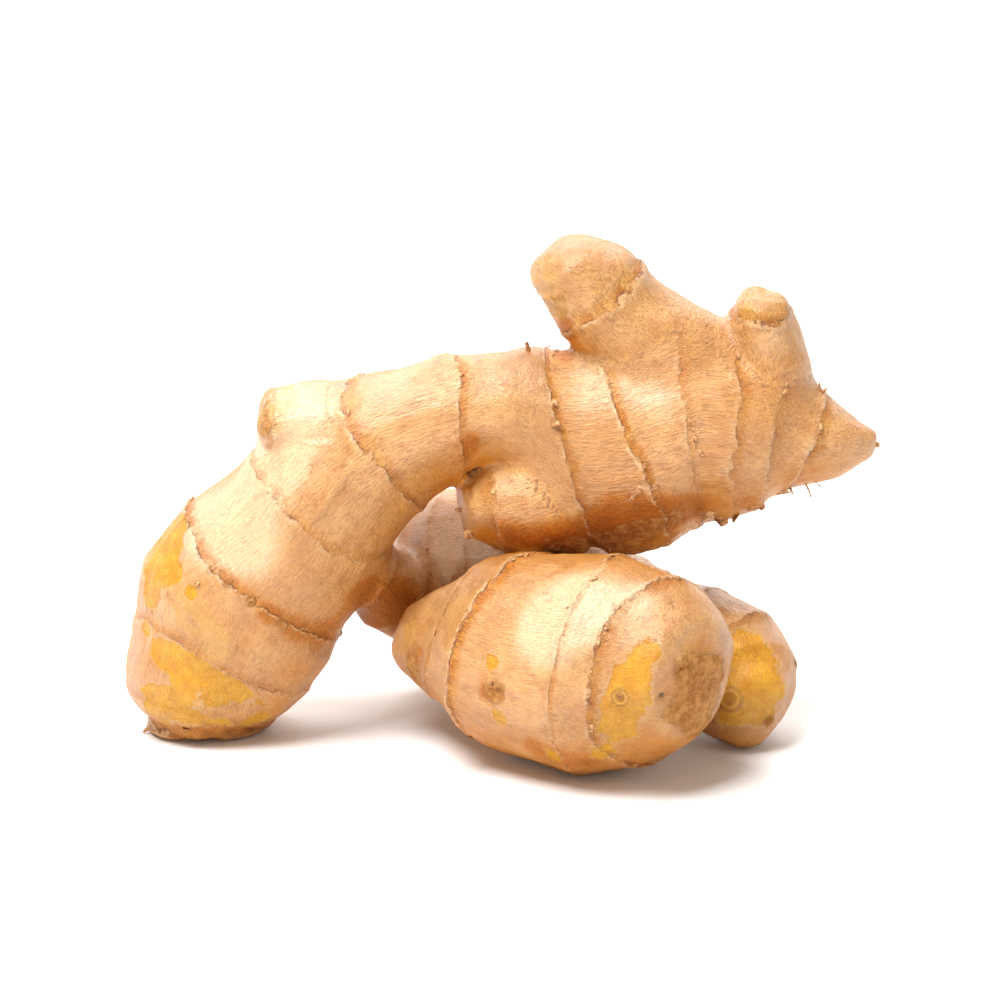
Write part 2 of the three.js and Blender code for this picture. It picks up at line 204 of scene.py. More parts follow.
# Single ridges and, below 0, grooves: how tall, how wide, and the points each runs through.
FOLDS = [
    (0.8, 0.9, [(-31, -11, 65), (-35, -12, 60), (-38, -13, 55)]),
    (-0.8, 0.8, [(-6, -5, 57), (-6, -2, 60), (-4, -1, 62), (-1, -2, 64)]),
    (0.6, 0.6, [(11, -1, 107), (14, -4, 107), (18, -5, 107.5), (22, -5, 106)]),
    (-0.5, 0.5, [(13, 1, 109), (16, -3, 109), (20, -3, 109.5)]),
    (0.5, 0.6, [(-46, -9, 62), (-45, -8, 66), (-42, -7, 69), (-36, -9, 69)]),
    (0.6, 0.8, [(-40, -12, 57), (-44, -12, 52)]),
    (-0.6, 0.5, [(51, 0, 93), (53, -5, 95.5), (56, -7, 96), (59, -6, 95.5)]),
    (-0.4, 0.4, [(52, -1, 91.5), (54, -6, 93), (58, -7, 93.5)]),
    (0.5, 0.7, [(9, 2, 102), (11, -2, 100), (15, -6, 98), (18, -6, 95)]),
    (-0.5, 0.5, [(8.5, 1, 104), (11, -4, 102.5), (16, -8, 101)]),
    (0.45, 0.6, [(9, 1, 107), (12, -5, 106), (18, -8, 105)]),
    (0.4, 0.6, [(34, -46, 36), (31, -48, 31), (32, -47, 25), (34, -45, 20)]),
    (0.35, 0.5, [(37, -45, 34), (40, -43, 29), (38, -44, 23), (40, -41, 17)]),
]


def lattice_noise(points, scale, seed=0):
    """Smooth noise from -1 to 1 at points in millimetres, with features about scale millimetres wide."""
    p = np.asarray(points, float) / scale
    cell = np.floor(p).astype(np.int64)
    part = p - cell
    part = part * part * (3 - 2 * part)
    total = np.zeros(len(p))
    for corner in range(8):
        step = np.array([corner & 1, corner >> 1 & 1, corner >> 2 & 1])
        at = cell + step
        code = at[:, 0] * 73856093 ^ at[:, 1] * 19349663 ^ at[:, 2] * 83492791 ^ (seed + 11) * 2654435761
        code = (code & 0x7FFFFFFF) * 1103515245 + 12345
        code = (code >> 7 & 0xFFFFF) ^ (code >> 19 & 0xFFFFF)
        weight = np.prod(np.where(step == 1, part, 1 - part), axis=1)
        total += weight * ((code & 0xFFFF) / 32767.5 - 1)
    return total


def layered_noise(points, scale, seed=0, layers=3):
    """Lattice noise with finer layers on top, each half as strong."""
    found = [lattice_noise(points, scale / 2**i, seed + i) / 2**i for i in range(layers)]
    return sum(found) / (2 - 0.5 ** (layers - 1))


def smooth_step(value, low, high):
    t = np.clip((value - low) / (high - low), 0, 1)
    return t * t * (3 - 2 * t)


def bell(distance, width):
    return np.exp(-((distance / width) ** 2))


class Lobe:
    """One lobe of the root as a run of sections close together."""

    STEPS = 8
    MARGIN = 15

    def __init__(self, rows):
        r = np.array([row[:7] for row in rows], float)
        ends = np.vstack([2 * r[0] - r[1], r, 2 * r[-1] - r[-2]])
        made = []
        for i in range(len(r) - 1):
            a, b, c, d = ends[i : i + 4]
            for t in np.arange(self.STEPS) / self.STEPS:
                curve = 2 * b + (c - a) * t + (2 * a - 5 * b + 4 * c - d) * t * t
                made.append((curve + (3 * b - 3 * c + d - a) * t**3) / 2)
        made = np.array([*made, r[-1]])
        self.middle = made[:, :3] + SHIFT
        self.along = np.gradient(self.middle, axis=0)
        self.along /= np.linalg.norm(self.along, axis=1)[:, None]
        self.across = np.stack([made[:, 3], np.zeros(len(made)), made[:, 4]], 1)
        self.front = np.cross(self.along, self.across)
        self.front *= np.where(self.front[:, 1] > 0, -1, 1)[:, None]
        self.front /= np.linalg.norm(self.front, axis=1)[:, None]
        # The section's own plane may stand askew to the way the lobe runs.
        self.facing = np.cross(self.across, self.front)
        self.facing /= np.linalg.norm(self.facing, axis=1)[:, None]
        self.facing *= np.sign((self.facing * self.along).sum(1))[:, None]
        self.slant = (self.facing * self.along).sum(1)
        self.deep, self.lean = made[:, 5], made[:, 6]
        step = np.linalg.norm(np.diff(self.middle, axis=0), axis=1)
        self.length = np.concatenate([[0], np.cumsum(step)])
        self.rings = [(self.length[i * self.STEPS], row[7]) for i, row in enumerate(rows) if row[7]]
        self.low = self.middle.min(0) - self.MARGIN - self.deep.max()
        self.high = self.middle.max(0) + self.MARGIN + self.deep.max()

    def near(self, points):
        return np.where(((points > self.low) & (points < self.high)).all(1))[0]

    def locate(self, points):
        """For each point: its distance out of this lobe's skin, and its place along and round the lobe."""
        nearest = np.empty(len(points), int)
        for start in range(0, len(points), 4000):
            some = points[start : start + 4000]
            gap = (some**2).sum(1)[:, None] + (self.middle**2).sum(1) - 2 * some @ self.middle.T
            ahead = some @ self.facing.T - (self.middle * self.facing).sum(1)
            nearest[start : start + 4000] = (gap + 12 * ahead**2).argmin(1)
        away = points - self.middle[nearest]
        past = (away * self.facing[nearest]).sum(1) / self.slant[nearest]
        place = self.length[nearest] + past
        away = away - past[:, None] * self.along[nearest]
        width = np.linalg.norm(self.across[nearest], axis=1)
        side = (away * self.across[nearest]).sum(1) / width**2
        front = (away * self.front[nearest]).sum(1) / self.deep[nearest]
        size = np.minimum(width, self.deep[nearest])
        reach = np.maximum(np.maximum(-place, place - self.length[-1]), 0) / size
        out = (np.sqrt(side**2 + front**2 + (1.6 * reach) ** 2) - 1) * size
        turn = np.arctan2(front, side)
        place = place - self.lean[nearest] * np.sin(turn)
        place = place - 0.7 * np.sin(3 * turn + 1.7 * nearest / self.STEPS)
        return out, place, side * width, front * self.deep[nearest]


lobes = {name: Lobe(rows) for name, rows in LOBES.items()}
# The base of a branch still belongs to the lobe it grew on: how strongly, and from where to where along it.
BRANCH_BASES = {
    "top_finger": (12, 6, 19), "small_finger": (6, 0, 8), "low_knob": (5, 5, 14), "shoulder_knob": (4, 4, 12),
}


def read_places(points):
    """Each point's lobe, distance past the nearest ring, that ring's mark, grain, seam and second lobe."""
    best = np.full(len(points), 99.0)
    runner_up = np.full(len(points), 99.0)
    nearest = np.full(len(points), 99.0)
    second = np.full(len(points), 99.0)
    owner = np.zeros(len(points), int)
    ring = np.full(len(points), 9.0)
    mark = np.zeros(len(points))
    grain = np.zeros((len(points), 3))
    wander = 0.75 * lattice_noise(points, 6, 3) + 0.45 * lattice_noise(points, 2.2, 4)
    for number, (name, lobe) in enumerate(lobes.items()):
        mine = lobe.near(points)
        out, place, side, front = lobe.locate(points[mine])
        score = np.abs(out)
        second[mine] = np.where(score < nearest[mine], nearest[mine], np.minimum(second[mine], score))
        nearest[mine] = np.minimum(nearest[mine], score)
        if name in BRANCH_BASES:
            extra, start, end = BRANCH_BASES[name]
            score = score + extra * (1 - smooth_step(place, start, end))
        taken = score < best[mine]
        runner_up[mine] = np.where(taken, best[mine], np.minimum(runner_up[mine], score))
        best[mine] = np.minimum(best[mine], score)
        chosen = mine[taken]
        owner[chosen] = number
        grain[chosen] = np.stack([place, side, front], 1)[taken]
        if lobe.rings:
            gaps = np.array([place[taken] - at for at, _ in lobe.rings]) + wander[chosen]
            closest = np.abs(gaps).argmin(0)
            ring[chosen] = gaps[closest, np.arange(len(chosen))]
            mark[chosen] = np.array([strength for _, strength in lobe.rings])[closest]
    seam = 1 - smooth_step(runner_up - best, 0.3, 1.8)
    mark *= (1 - smooth_step(np.abs(ring), 2.2, 3.2)) * (1 - seam)
    return owner, np.clip(ring, -9, 9), mark, grain, seam, second - nearest


def depth_outside(points):
    """How far points stand outside all the lobes, or below 0 inside one."""
    found = np.full(len(points), 30.0)
    for lobe in lobes.values():
        mine = lobe.near(points)
        found[mine] = np.minimum(found[mine], lobe.locate(points[mine])[0])
    return found


def hollowness(places, out):
    """Near 1 in the creases and gaps between lobes, and 0 where the skin stands free; it masks the painted
    shade.
    """
    total = np.zeros(len(places))
    for reach in (3.0, 6.0, 11.0):
        free = depth_outside(places + out * reach)
        total += np.clip(1 - free / reach, 0, 1.5) / 3
    return smooth_step(total, 0.15, 1.1)


def spot_field(points, spots, firm=0.8):
    """A smooth field of spots that run together: 0 at a lone spot's edge and up to 1 inside."""
    field = np.zeros(len(points))
    for x, y, z, radius in spots:
        field += np.exp(-firm * (((points - (x, y, z)) / radius) ** 2).sum(1))
    return (field - math.exp(-firm)) / (1 - math.exp(-firm))


def from_line(points, line):
    """The distance of points from a run of straight stretches."""
    found = np.full(len(points), 99.0)
    for a, b in zip(line, line[1:]):
        share = np.clip((points - a) @ (b - a) / ((b - a) @ (b - a)), 0, 1)
        found = np.minimum(found, np.linalg.norm(points - a - share[:, None] * (b - a), axis=1))
    return found


def make_current(piece):
    bpy.ops.object.select_all(action="DESELECT")
    bpy.context.view_layer.objects.active = piece
    piece.select_set(True)


def apply_modifier(piece, kind, **settings):
    make_current(piece)
    modifier = piece.modifiers.new(kind.title(), kind)
    for key, value in settings.items():
        setattr(modifier, key, value)
    bpy.ops.object.modifier_apply(modifier=modifier.name)


def vertex_places(piece):
    places = np.empty(len(piece.data.vertices) * 3, np.float32)
    piece.data.vertices.foreach_get("co", places)
    return places.reshape(-1, 3).astype(float) / MM


def vertex_directions(piece):
    found = np.empty(len(piece.data.vertices) * 3, np.float32)
    piece.data.vertex_normals.foreach_get("vector", found)
    return found.reshape(-1, 3).astype(float)


def set_places(piece, places):
    piece.data.vertices.foreach_set("co", (places * MM).astype(np.float32).ravel())
    piece.data.update()


def set_attribute(piece, name, values):
    vector = values.ndim == 2
    made = piece.data.attributes.new(name, "FLOAT_VECTOR" if vector else "FLOAT", "POINT")
    made.data.foreach_set("vector" if vector else "value", values.astype(np.float32).ravel())


def smooth_where(piece, weights, rounds):
    """Smooths the piece as strongly as the weights from 0 to 1 say at each vertex."""
    group = piece.vertex_groups.new(name="smoothed")
    for level in range(1, 11):
        chosen = np.where(np.round(weights * 10) == level)[0]
        group.add([int(i) for i in chosen], level / 10, "REPLACE")
    apply_modifier(piece, "SMOOTH", factor=0.7, iterations=rounds, vertex_group=group.name)
    piece.vertex_groups.clear()


def remeshed_skin():
    """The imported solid's surface as even small faces, its facets smoothed and its creases filled."""
    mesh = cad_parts["rhizome"].data.copy()
    mesh.materials.clear()
    piece = bpy.data.objects.new("rhizome_skin", mesh)
    bpy.context.scene.collection.objects.link(piece)
    work = bmesh.new()
    work.from_mesh(mesh)
    bmesh.ops.remove_doubles(work, verts=work.verts, dist=1e-6)
    work.to_mesh(mesh)
    work.free()
    apply_modifier(piece, "REMESH", mode="VOXEL", voxel_size=VOXEL * MM, use_smooth_shade=True)
    apply_modifier(piece, "SMOOTH", factor=0.6, iterations=FACET_ROUNDS)
    places = vertex_places(piece)
    second = read_places(places)[-1]
    off_floor = smooth_step(places[:, 2], 1, 4)
    smooth_where(piece, (1 - smooth_step(second, 0.8, 3.5)) * off_floor, CREASE_ROUNDS)
    # The branches on top grow out of the body without a crease.
    on_top = smooth_step(places[:, 2], 72, 78)
    smooth_where(piece, (1 - smooth_step(second, 2, 8)) * on_top, BASE_ROUNDS)
    return piece


def radii_away(places, spots):
    """How far places are from the nearest spot's middle, counted in that spot's radii."""
    found = np.full(len(places), 9.0)
    for x, y, z, radius in spots:
        found = np.minimum(found, np.linalg.norm(places - (x, y, z), axis=1) / radius)
    return found


def read_markings(places, out):
    """What the skin is like at each place, and where shade and light are painted on it, under the names of
    the attributes that the shader reads.
    """
    owner, ring, mark, grain, seam, second = read_places(places)
    under = smooth_step(-out[:, 2] + 0.3 * layered_noise(places, 9, 47), -0.4, 1.1)

    peel = spot_field(places, PEELED) + 0.26 * layered_noise(places, 6, 21)
    peel += 0.2 * layered_noise(places, 2.2, 22)
    peel = np.where(np.abs(ring) < 0.8, peel - 0.3 * (1 - np.abs(ring) / 0.8), peel)
    above_ring = smooth_step(ring, -0.2, 0.4) * (1 - smooth_step(ring, 2, 3.4))
    peel -= 0.7 * above_ring * (owner == 0)
    yellow = spot_field(places, YELLOWISH, 0.6) + 0.25 * layered_noise(places, 5, 31)
    cork = spot_field(places, CORKY) + 0.35 * layered_noise(places, 5, 41)
    cork += 0.2 * layered_noise(places, 1.8, 42)
    cork = np.maximum(cork, (places[:, 2] < 2.5) * 0.5 + 0.5 * layered_noise(places, 3, 61) - 0.3)
    stain = spot_field(places, STAINED, 0.5) + 0.5 * layered_noise(places, 8, 45)
    stain += 0.3 * layered_noise(places, 2.4, 46)
    # Painted light: the front of the lobe behind the arch, where it shows through the arch, is made pale and
    # kept clear of painted shade, though the arch shades it.
    rear = np.where(owner == list(LOBES).index("rear_lobe"), smooth_step(second, 0.5, 5), 0)
    rear = rear * smooth_step(-out[:, 1], 0.1, 0.9)
    # Painted shade: the colour darkens on downward faces and in the creases between lobes, where shade falls,
    # but not on the lobe seen through the arch.
    shade = (0.6 * under + 0.75 * hollowness(places, out)) * (1 - 0.9 * rear)
    # Painted highlight: pale spots where the key light's sheen falls, over a little random pale tone across
    # the skin.
    pale = np.clip((spot_field(places, PAINTED_HIGHLIGHT_SPOTS, 0.35) + 0.6 * layered_noise(places, 6, 51) + 1.4) / 3.6, 0, 1)
    return owner, {
        "ring": ring,
        "mark": mark,
        "seam": seam,
        "grain": grain,
        "peel": np.clip(peel, -1, 1),
        "yellow": np.clip(yellow, -1, 1),
        "cork": np.clip(cork, -1, 1),
        "stain": smooth_step(stain, -0.2, 1.7),
        "shade": np.clip(shade, 0, 1.2),
        "pale": np.maximum(pale, 1.1 * rear),
        "scar": np.clip(radii_away(places, ROOT_SCARS), 0, 4),
        "pit": np.clip(radii_away(places, PITS), 0, 4),
    }


def ring_height(places, ring, mark, ragged):
    """A ragged lip just before each growth ring, and a shallow groove just past it."""
    rise = mark * np.clip(0.8 + 0.7 * lattice_noise(places, 6, 71), 0.15, 1.5)
    lip = smooth_step(ring, -2.4, -0.4) * (1 - smooth_step(ring, -0.25, 0.45))
    return 0.52 * rise * lip * (0.75 + 0.6 * ragged) - 0.22 * rise * bell(ring - 0.45, 0.6)


def skin_height(places, markings):
    """How far the skin stands above the remeshed solid, in millimetres."""
    grain, free = markings["grain"], 1 - markings["seam"]
    ragged = lattice_noise(places, 1.7, 72)
    height = ring_height(places, markings["ring"], markings["mark"], ragged)
    height += 0.34 * layered_noise(places, 12, 81)
    height += 0.19 * free * layered_noise(grain * (0.2, 1, 1), 2.8, 91)
    height += 0.08 * free * lattice_noise(grain * (0.25, 1, 1), 1.3, 95)
    height -= 0.28 * smooth_step(markings["peel"], -0.06, 0.1)
    # The skin of young tips is drawn into wrinkles that run round the lobe.
    wander = layered_noise(places, 5, 133)
    drawn = 1 - 2.4 * np.abs(lattice_noise(grain * (1, 0.3, 0.3) + wander[:, None], 2.2, 131))
    height += 0.45 * free * smooth_step(markings["yellow"], -0.3, 0.5) * drawn
    height += 0.5 * smooth_step(markings["cork"], -0.1, 0.3) * layered_noise(places, 2.2, 101)
    for tall, wide, line in FOLDS:
        height += tall * bell(from_line(places + ragged[:, None] * 0.3, np.array(line, float)), wide)
    for x, y, z, radius in ROOT_SCARS:
        from_middle = np.linalg.norm(places - (x, y, z), axis=1)
        height += 0.35 * bell(from_middle - radius, 0.5) - 0.3 * bell(from_middle, 0.45 * radius)
    for x, y, z, radius in PITS:
        height -= 0.9 * radius * bell(np.linalg.norm(places - (x, y, z), axis=1), radius)
    # The flat spots that the root rests on stay flat.
    return (height + 0.22) * smooth_step(places[:, 2], 0.1, 1.5)


def shape_skin(piece):
    """Raises the rings' lips, lumps, wrinkles and scars, and keeps what the shader needs to know."""
    places = vertex_places(piece)
    out = vertex_directions(piece)
    owner, markings = read_markings(places, out)
    moved = places + out * skin_height(places, markings)[:, None]
    # The torn rim of the foot flares outwards, over a shallow groove.
    rim = bell(places[:, 2] - 1.3, 1.1) * (0.7 + 0.6 * layered_noise(places, 5, 121))
    rim -= 0.45 * bell(places[:, 2] - 4.2, 1.3)
    moved[:, :2] += out[:, :2] * (1.7 * rim * (owner == 0) * smooth_step(places[:, 2], 0.05, 0.6))[:, None]
    set_places(piece, moved)
    for name, values in markings.items():
        set_attribute(piece, name, values)


class Shader:
    """A material's node tree, written as plain calls."""

    def __init__(self, name):
        self.material = bpy.data.materials.new(name)
        self.material.use_nodes = True
        self.tree = self.material.node_tree
        self.surface = next(n for n in self.tree.nodes if n.type == "BSDF_PRINCIPLED")

    def node(self, kind, inputs=None, **settings):
        made = self.tree.nodes.new("ShaderNode" + kind)
        for key, value in settings.items():
            setattr(made, key, value)
        for key, value in (inputs or {}).items():
            self.join(value, made.inputs[key])
        return made

    def join(self, value, socket):
        if isinstance(value, bpy.types.NodeSocket):
            self.tree.links.new(value, socket)
        else:
            socket.default_value = value

    def attribute(self, name, vector=False):
        made = self.node("Attribute", attribute_name=name)
        return made.outputs["Vector" if vector else "Fac"]

    def math(self, operation, a, b=0.0, c=0.0):
        return self.node("Math", {0: a, 1: b, 2: c}, operation=operation).outputs[0]

    def times(self, *values):
        found = values[0]
        for value in values[1:]:
            found = self.math("MULTIPLY", found, value)
        return found

    def step(self, value, low, high):
        inputs = {"Value": value, "From Min": low, "From Max": high}
        return self.node("MapRange", inputs, interpolation_type="SMOOTHSTEP").outputs["Result"]

    def noise(self, vector, scale, detail=3.0, roughness=0.55):
        inputs = {"Vector": vector, "Scale": scale, "Detail": detail, "Roughness": roughness}
        return self.node("TexNoise", inputs).outputs["Fac"]

    def stretch(self, vector, factors):
        return self.node("VectorMath", {0: vector, 1: factors}, operation="MULTIPLY").outputs[0]

    def millimetres(self):
        return self.stretch(self.node("TexCoord").outputs["Object"], (1000.0, 1000.0, 1000.0))

    def mix(self, share, a, b):
        """The colour a, with b laid over it by share."""
        made = self.tree.nodes.new("ShaderNodeMix")
        made.data_type = "RGBA"
        self.join(share, made.inputs[0])
        self.join(a, made.inputs[6])
        self.join(b, made.inputs[7])
        return made.outputs[2]

    def summed(self, *shares):
        """The sum of values, each times its own number."""
        total = 0.0
        for value, share in shares:
            total = self.math("MULTIPLY_ADD", value, share, total)
        return total

    def bump(self, height, strength, distance):
        inputs = {"Height": height, "Strength": strength, "Distance": distance}
        return self.node("Bump", inputs).outputs["Normal"]

    def finish(self, **values):
        for key, value in values.items():
            self.join(value, self.surface.inputs[key.replace("_", " ")])
        return self.material


def linear(*srgb):
    """A colour given as 0 to 255 display values, as the linear values that shaders use."""
    scaled = [c / 255 for c in srgb]
    return (*(c / 12.92 if c <= 0.04045 else ((c + 0.055) / 1.055) ** 2.4 for c in scaled), 1.0)


class GingerSkin(Shader):
    """The root's skin. Each method from papery to scarred lays one kind of marking, or painted light and
    shade, over a colour.

    They run in that order, and roughness, relief and dullness after them, because later ones read
    what earlier ones found.
    """

    def __init__(self):
        super().__init__("ginger_skin")
        self.place = self.millimetres()
        self.grain = self.attribute("grain", vector=True)
        self.ring = self.attribute("ring")
        self.mark = self.attribute("mark")
        self.seam = self.attribute("seam")
        self.shade = self.attribute("shade")
        self.fibres = self.grained(0.24, 2.1, 3.0, 0.66)
        self.threads = self.grained(0.3, 3.2, 2.0, 0.6)
        self.mottle = self.noise(self.place, 0.3, 4.0, 0.6)
        self.pores = self.noise(self.place, 2.8, 1.0, 0.6)
        self.crumbs = self.noise(self.place, 1.1, 3.0, 0.7)
        self.scatter = self.minus(self.crumbs, 0.5)
        wobble = self.minus(self.noise(self.place, 0.5, 4.0, 0.6), 0.5)
        # The distance past the nearest ring in millimetres, made ragged.
        self.line = self.math("MULTIPLY_ADD", wobble, 3.4, self.ring)

    def minus(self, a, b):
        return self.math("SUBTRACT", a, b)

    def most(self, *values):
        found = values[0]
        for value in values[1:]:
            found = self.math("MAXIMUM", found, value)
        return found

    def grained(self, along, scale, detail, roughness):
        """Noise drawn out along the lobe. Along the seams between lobes plain noise takes its place."""
        run = self.noise(self.stretch(self.grain, (along, 1.0, 1.0)), scale, detail, roughness)
        plain = self.noise(self.place, 0.7 * scale, 2.0, roughness)
        return self.math("MULTIPLY_ADD", self.minus(plain, run), self.seam, run)

    def papery(self):
        """Pale and tan clouds, with thin threads and fine broken creases along the lobe."""
        clouds = self.noise(self.place, 0.06, 3.0, 0.5)
        colour = self.mix(self.step(clouds, 0.34, 0.66), linear(207, 140, 62), linear(223, 164, 90))
        colour = self.mix(self.step(self.mottle, 0.42, 0.74), colour, linear(200, 130, 54))
        colour = self.mix(self.times(self.step(self.fibres, 0.5, 0.68), 0.45), colour, linear(178, 106, 44))
        colour = self.mix(self.times(self.step(self.threads, 0.56, 0.7), 0.35), colour, linear(238, 192, 142))
        colour = self.mix(self.times(self.step(self.pores, 0.6, 0.76), 0.4), colour, linear(166, 96, 38))
        off_middle = self.math("ABSOLUTE", self.minus(self.grained(0.24, 0.8, 3.0, 0.6), 0.5))
        broken = self.step(self.noise(self.place, 0.22, 2.0, 0.5), 0.42, 0.6)
        self.crease = self.times(self.minus(1.0, self.step(off_middle, 0.0, 0.03)), broken)
        return self.mix(self.times(self.crease, 0.4), colour, linear(176, 106, 48))

    def painted_light_and_stains(self, colour):
        """Painted highlights on pale satin spots, painted shade on downward faces and in creases, stains by
        old wounds, deepest brown where stain and painted shade add up, then yellowish young tips.
        """
        uneven = self.math("ADD", self.scatter, self.minus(self.fibres, 0.5))
        # Painted highlight: pale satin colour on the highlight spots and on the lobe seen through the arch.
        pale = self.math("MULTIPLY_ADD", uneven, 0.7, self.attribute("pale"))
        colour = self.mix(self.times(self.step(pale, 0.15, 1.5), 0.92), colour, linear(252, 218, 176))
        # Painted shade: orange-brown on downward faces and in the creases between lobes.
        colour = self.mix(self.times(self.step(self.shade, 0.0, 0.9), 0.78), colour, linear(216, 130, 32))
        stain = self.math("ADD", self.attribute("stain"), self.times(self.scatter, 0.9))
        colour = self.mix(self.times(self.step(stain, 0.1, 1.0), 0.7), colour, linear(190, 104, 28))
        # Deepest brown where stain and painted shade add up: part real stain, part painted shade.
        self.stain_and_painted_shade = self.math("MULTIPLY_ADD", self.shade, 0.7, stain)
        colour = self.mix(self.times(self.step(self.stain_and_painted_shade, 0.9, 1.8), 0.6), colour, linear(146, 72, 14))
        young = self.step(self.math("ADD", self.attribute("yellow"), self.scatter), -0.1, 0.7)
        young = self.times(young, self.step(self.mottle, 0.3, 0.6), 0.7)
        return self.mix(young, colour, linear(222, 164, 72))

    def ringed(self, colour):
        """Growth rings: a stain on the tip side, a pale ragged lip, short ticks, and a broken dark crack."""
        line, mark = self.line, self.mark
        patchy = self.step(self.noise(self.place, 0.24, 4.0, 0.65), 0.4, 0.6)
        self.after = self.times(self.minus(self.step(line, -0.4, 0.3), self.step(line, 0.6, 3.4)), mark)
        colour = self.mix(self.times(self.after, patchy, 0.8), colour, linear(190, 110, 42))
        lip = self.minus(self.step(line, -1.6, -0.6), self.step(line, -0.35, -0.1))
        colour = self.mix(self.times(lip, mark, patchy, 0.6), colour, linear(240, 200, 150))
        ticks = self.step(self.noise(self.stretch(self.grain, (0.3, 1.0, 1.0)), 2.6, 2.0, 0.5), 0.58, 0.64)
        beside = self.minus(self.step(self.ring, -0.3, 0.1), self.step(self.ring, 0.6, 2.6))
        colour = self.mix(self.times(ticks, beside, mark, 0.55), colour, linear(150, 86, 40))
        fine = self.minus(1.0, self.step(self.math("ABSOLUTE", line), 0.06, 0.3))
        strength = self.math("MULTIPLY_ADD", patchy, 0.72, 0.08)
        self.crack = self.times(fine, strength, self.step(mark, 0.0, 0.9))
        brown = self.mix(self.step(self.mottle, 0.4, 0.6), linear(168, 98, 42), linear(124, 66, 26))
        return self.mix(self.crack, colour, brown)

    def peeled(self, colour):
        """Peeled spots: yellow flesh, deeper where the skin is gone, with a torn pale edge."""
        edge = self.math("MULTIPLY_ADD", self.scatter, 0.8, self.attribute("peel"))
        ragged = self.minus(self.noise(self.place, 0.42, 4.0, 0.6), 0.5)
        edge = self.math("MULTIPLY_ADD", ragged, 1.6, edge)
        flesh = self.mix(self.step(self.mottle, 0.32, 0.66), linear(230, 168, 30), linear(216, 146, 6))
        flesh = self.mix(self.times(self.step(self.fibres, 0.5, 0.7), 0.35), flesh, linear(194, 118, 22))
        thin = self.minus(self.step(edge, -0.42, -0.05), self.step(edge, -0.05, 0.06))
        colour = self.mix(self.times(thin, 0.5), colour, linear(222, 164, 92))
        self.bare = self.step(edge, -0.02, 0.14)
        rim = self.minus(self.step(edge, -0.14, -0.03), self.bare)
        colour = self.mix(self.times(rim, 0.25), colour, linear(236, 198, 142))
        return self.mix(self.times(self.bare, 0.93), colour, flesh)

    def scarred(self, colour):
        """Corky brown skin, round root scars and dark pits."""
        ragged = self.minus(self.noise(self.place, 0.35, 4.0, 0.7), 0.5)
        self.cork = self.step(self.math("MULTIPLY_ADD", ragged, 1.5, self.attribute("cork")), -0.05, 0.5)
        self.flakes = self.noise(self.place, 0.42, 5.0, 0.72)
        bark = self.mix(self.step(self.flakes, 0.38, 0.62), linear(164, 98, 40), linear(228, 168, 100))
        colour = self.mix(self.times(self.cork, 0.62), colour, bark)
        scar = self.attribute("scar")
        circles = self.math("SINE", self.times(self.math("MULTIPLY_ADD", self.scatter, 0.12, scar), 11.0))
        bands = self.step(circles, 0.1, 0.9)
        on_scar = self.minus(1.0, self.step(scar, 1.0, 1.35))
        colour = self.mix(self.times(on_scar, self.minus(1.0, bands), 0.45), colour, linear(158, 98, 44))
        colour = self.mix(self.times(on_scar, bands, 0.3), colour, linear(226, 172, 104))
        dark = self.minus(1.0, self.step(self.attribute("pit"), 0.4, 1.1))
        return self.mix(self.times(dark, 0.85), colour, linear(74, 38, 16))

    def roughness(self):
        found = self.math("MULTIPLY_ADD", self.cork, 0.3, 0.37)
        found = self.math("MULTIPLY_ADD", self.bare, -0.08, found)
        return self.math("MULTIPLY_ADD", self.minus(self.fibres, 0.5), 0.3, found)

    def relief(self):
        """Every fine ridge and crack as one height in millimetres; below 0 it cuts in."""
        ledge = self.times(self.step(self.line, -0.35, 0.1), self.mark)
        return self.summed(
            (self.fibres, 1.1),
            (self.threads, 0.3),
            (self.crumbs, 0.36),
            (self.times(self.flakes, self.cork), 1.8),
            (self.crease, -0.15),
            (ledge, -0.28),
            (self.crack, -0.4),
            (self.bare, -0.24),
            (self.pores, 0.12),
        )

    def dullness(self):
        """Where the skin has no sheen: on stains, cork, ring scars, shaded skin, and at a grazing angle."""
        grazing = self.step(self.node("LayerWeight", {"Blend": 0.5}).outputs["Facing"], 0.5, 0.95)
        return self.most(
            self.step(self.stain_and_painted_shade, 0.1, 1.0),
            self.cork,
            self.after,
            self.step(self.shade, 0.1, 0.7),
            self.times(self.bare, 0.6),
            grazing,
        )


def ginger_skin():
    s = GingerSkin()
    colour = s.scarred(s.peeled(s.ringed(s.painted_light_and_stains(s.papery()))))
    dull = s.dullness()
    return s.finish(
        Base_Color=colour,
        Roughness=s.roughness(),
        Normal=s.bump(s.relief(), 1.0, MM),
        Specular_IOR_Level=s.math("MULTIPLY_ADD", dull, -0.45, 0.6),
        Coat_Weight=s.math("MULTIPLY_ADD", dull, -0.9, 1.0),
        Coat_Roughness=0.34,
        Coat_Normal=s.bump(s.summed((s.fibres, 0.2), (s.crumbs, 0.15)), 1.0, MM),
    )


def dry_shred():
    s = Shader("dry_shred")
    spots = s.noise(s.millimetres(), 1.4, 4.0, 0.65)
    colour = s.mix(s.step(spots, 0.35, 0.68), linear(150, 90, 44), linear(228, 180, 126))
    return s.finish(Base_Color=colour, Roughness=0.72, Normal=s.bump(spots, 0.4, 0.0003))


def root_fibre():
    s = Shader("root_fibre")
    spots = s.noise(s.millimetres(), 0.9, 4.0, 0.65)
    colour = s.mix(s.step(spots, 0.35, 0.65), linear(120, 72, 34), linear(206, 150, 92))
    return s.finish(Base_Color=colour, Roughness=0.8, Normal=s.bump(spots, 0.5, 0.0004))


